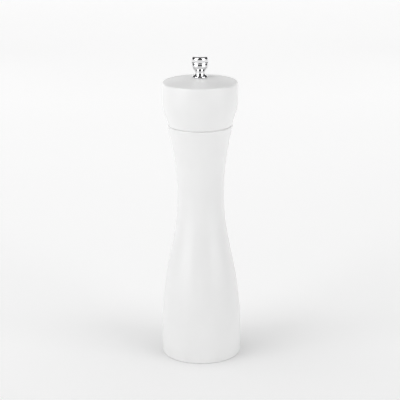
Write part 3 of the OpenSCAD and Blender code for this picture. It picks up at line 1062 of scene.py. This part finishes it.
def mechanism_screws():
    """Three pan-head screws with a cross recess, which point up."""
    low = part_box("mechanism_screws")[0].z
    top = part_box("mechanism_screws")[1].z
    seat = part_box("retaining_plate")[0].z
    head_r = 1.8 * SCREW_R
    head_h = seat - low
    dome_r = 3.4 * head_r
    edge = 0.05 * MM
    dome = arc((0, low + dome_r), dome_r, -90, -76, 4)
    head = [*dome, (0.93 * head_r, low + 0.35 * head_h), (head_r, low + 0.6 * head_h)]
    head += [(head_r, seat - edge), (head_r - edge, seat), (SCREW_R, seat)]
    shank = wood_thread(SCREW_R, SCREW_CORE * SCREW_R, seat + 0.01 * MM, top, 1.3 * MM, 3 * MM)
    obj = lathe("screw", head + shank, 48, None, 35)
    cut_cross(obj, 0.55 * MM, 2.9 * MM, low - 0.5 * MM, low + 1.0 * MM)
    places = []
    for i in range(3):
        a = TAU * i / 3
        places.append((SCREW_RING_R * math.cos(a), SCREW_RING_R * math.sin(a), 0))
    obj = copies(obj, "housing_screws", places)
    finish_with(obj, "barrel", "steel", ZINC_STEEL, replaced=("mechanism_screws",))


def drive_plate_screws():
    """Two countersunk brass screws with a cross recess, flush with the plate."""
    low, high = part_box("drive_plate_screws")
    head_r = 1.85 * DRIVE_SCREW_R
    neck_z = low.z + 1.4 * (head_r - DRIVE_SCREW_R)
    edge = 0.06 * MM
    head = [(0, low.z), (head_r - edge, low.z), (head_r, low.z + edge), (DRIVE_SCREW_R, neck_z)]
    core = SCREW_CORE * DRIVE_SCREW_R
    shank = wood_thread(DRIVE_SCREW_R, core, neck_z + 0.01 * MM, high.z, 1.0 * MM, 2.4 * MM)
    obj = lathe("screw", head + shank, 48, None, 35)
    cut_cross(obj, 0.45 * MM, 2.3 * MM, low.z - 0.5 * MM, low.z + 0.8 * MM)
    places = [(side * DRIVE_SCREW_RING_R, 0, 0) for side in (-1, 1)]
    obj = copies(obj, "drive_screws", places)
    finish_with(obj, "head", "brass", BRASS, replaced=("drive_plate_screws",))


# ---- Studio ----

CAMERA_DISTANCE = 0.9196
CAMERA_HEIGHT = 0.3883
CAMERA_SIDE = -0.0005
CAMERA_PITCH = math.radians(16.77)
CAMERA_ROLL = math.radians(-0.347)
CAMERA_LENS = 124.7
SENSOR_WIDTH = 36

# The sweep: how far it runs to the front, where it bends up, and how high and wide it is.
SWEEP_FRONT = -3.0
SWEEP_BEND_Y = 1.8
SWEEP_BEND_R = 0.5
SWEEP_TOP = 1.1
SWEEP_HALF = 3.0

# The sweep's painted glow, which grows between two depths. The stops are fractions of the way, each with
# its glow.
FADE_FRONT = -0.1
FADE_BACK = 1.3
GLOW_FRONT = 0.44
GLOW_BACK = 0.77
GLOW_STOPS = ((0.14, 0.512), (0.29, 0.59), (0.45, 0.664), (0.65, 0.73))

# The painted soft shadow under an object, which dims the floor's glow: how far it reaches, and the share of
# the glow left at its darkest.
SHADE_REACH = 0.11
SHADE_DEPTH = 0.12


def camera():
    """The camera, at the photograph's angle."""
    data = bpy.data.cameras.new("camera")
    data.lens = CAMERA_LENS
    data.sensor_width = SENSOR_WIDTH
    data.clip_start = 0.01
    data.clip_end = 20
    obj = bpy.data.objects.new("camera", data)
    turn = Matrix.Rotation(math.pi / 2 - CAMERA_PITCH, 4, "X") @ Matrix.Rotation(CAMERA_ROLL, 4, "Z")
    place = Matrix.Translation((CAMERA_SIDE, -CAMERA_DISTANCE, CAMERA_HEIGHT))
    obj.matrix_world = place @ turn
    bpy.context.scene.collection.objects.link(obj)
    bpy.context.scene.camera = obj


def softbox(name, azimuth, distance, height, width, tall, power, tilt=0.0):
    """An area light that faces the axis. Azimuth 0 is the camera's side, and positive is to the right."""
    data = bpy.data.lights.new(name, "AREA")
    data.shape = "RECTANGLE"
    data.size = width
    data.size_y = tall
    data.energy = power
    obj = bpy.data.objects.new(name, data)
    angle = math.radians(azimuth)
    obj.location = (distance * math.sin(angle), -distance * math.cos(angle), height)
    obj.rotation_euler = (math.pi / 2 - math.radians(tilt), 0, angle)
    obj.visible_camera = False
    bpy.context.scene.collection.objects.link(obj)


def sweep_mesh(steps=16):
    """The sweep's mesh: a floor, a bend and a low wall."""
    bm = bmesh.new()
    path = [(SWEEP_FRONT, 0.0), (SWEEP_BEND_Y, 0.0)]
    for i in range(1, steps + 1):
        angle = math.pi / 2 * i / steps
        y = SWEEP_BEND_Y + SWEEP_BEND_R * math.sin(angle)
        path.append((y, SWEEP_BEND_R * (1 - math.cos(angle))))
    path.append((SWEEP_BEND_Y + SWEEP_BEND_R, SWEEP_TOP))
    rows = [[bm.verts.new((x, y, z)) for x in (-SWEEP_HALF, SWEEP_HALF)] for y, z in path]
    for low, high in zip(rows, rows[1:]):
        bm.faces.new((low[0], low[1], high[1], high[0]))
    return make_object("backdrop", bm, 60)


def sweep_paper():
    """Pale paper with a painted glow that is a little brighter towards the back, and a painted shadow close
    under an object.
    """
    s = Shader("backdrop").put(base_color=(0.55, 0.55, 0.55), roughness=0.9, specular_ior_level=0.1)
    coords = s.add("ShaderNodeTexCoord")
    split = s.add("ShaderNodeSeparateXYZ")
    s.join(coords, "Object", split, "Vector")
    # Painted glow: the floor emits light, a little more towards the back.
    deep = s.add("ShaderNodeMapRange")
    deep.inputs["From Min"].default_value = FADE_FRONT
    deep.inputs["From Max"].default_value = FADE_BACK
    s.join(split, "Y", deep, "Value")
    painted_glow_ramp = s.ramp(deep, "Result", (GLOW_FRONT,) * 3, (GLOW_BACK,) * 3)
    for stop, painted_glow in GLOW_STOPS:
        painted_glow_ramp.color_ramp.elements.new(stop).color = (painted_glow, painted_glow, painted_glow, 1)
    # Painted shadow: an occlusion node dims the floor's glow close under an object.
    shadow_occlusion = s.add("ShaderNodeAmbientOcclusion", samples=12, Distance=SHADE_REACH)
    dim = s.spread(shadow_occlusion, "AO", SHADE_DEPTH, 1.0)
    painted_glow = s.add("ShaderNodeMath", operation="MULTIPLY")
    s.join(painted_glow_ramp, "Color", painted_glow, 0)
    s.join(dim, "Result", painted_glow, 1)
    s.put(emission_color=(1, 1, 1))
    s.join(painted_glow, "Value", s.shader, "Emission Strength")
    return s.material


def backdrop():
    """A pale floor that sweeps up into a low wall behind the object."""
    obj = sweep_mesh()
    obj.data.materials.append(sweep_paper())


def studio():
    """The world, the sweep and the lights."""
    world = bpy.data.worlds.new("studio")
    world.use_nodes = True
    world.node_tree.nodes["Background"].inputs["Color"].default_value = (1, 1, 1, 1)
    world.node_tree.nodes["Background"].inputs["Strength"].default_value = 0.05
    bpy.context.scene.world = world
    bpy.context.scene.view_settings.view_transform = "Standard"
    backdrop()
    softbox("key", -57, 1.0, 0.6, width=0.8, tall=1.15, power=7.9)
    softbox("fill", 56, 1.0, 0.6, width=0.8, tall=1.15, power=7.0)
    softbox("back_left", -145, 1.1, 0.32, width=0.6, tall=0.6, power=0.4)
    softbox("back_right", 145, 1.1, 0.32, width=0.6, tall=0.6, power=0.4)
    softbox("high_left", -90, 0.31, 0.85, width=0.4, tall=0.4, power=1.6, tilt=70)
    softbox("high_right", 90, 0.31, 0.85, width=0.4, tall=0.4, power=0.85, tilt=70)


# ---- Build ----

camera()
barrel()
head()
knob()
shaft()
clip("lower_clip", "shaft_clip", "shaft", CLIP_ROOT_R)
clip("upper_clip", "stop_clip", "shaft", STOP_ROOT_R)
rotor()
stator()
stator_housing()
bridge()
guide_bush()
spring()
washers()
retaining_plate()
drive_plate()
tenon_ring()
mechanism_screws()
drive_plate_screws()
studio()
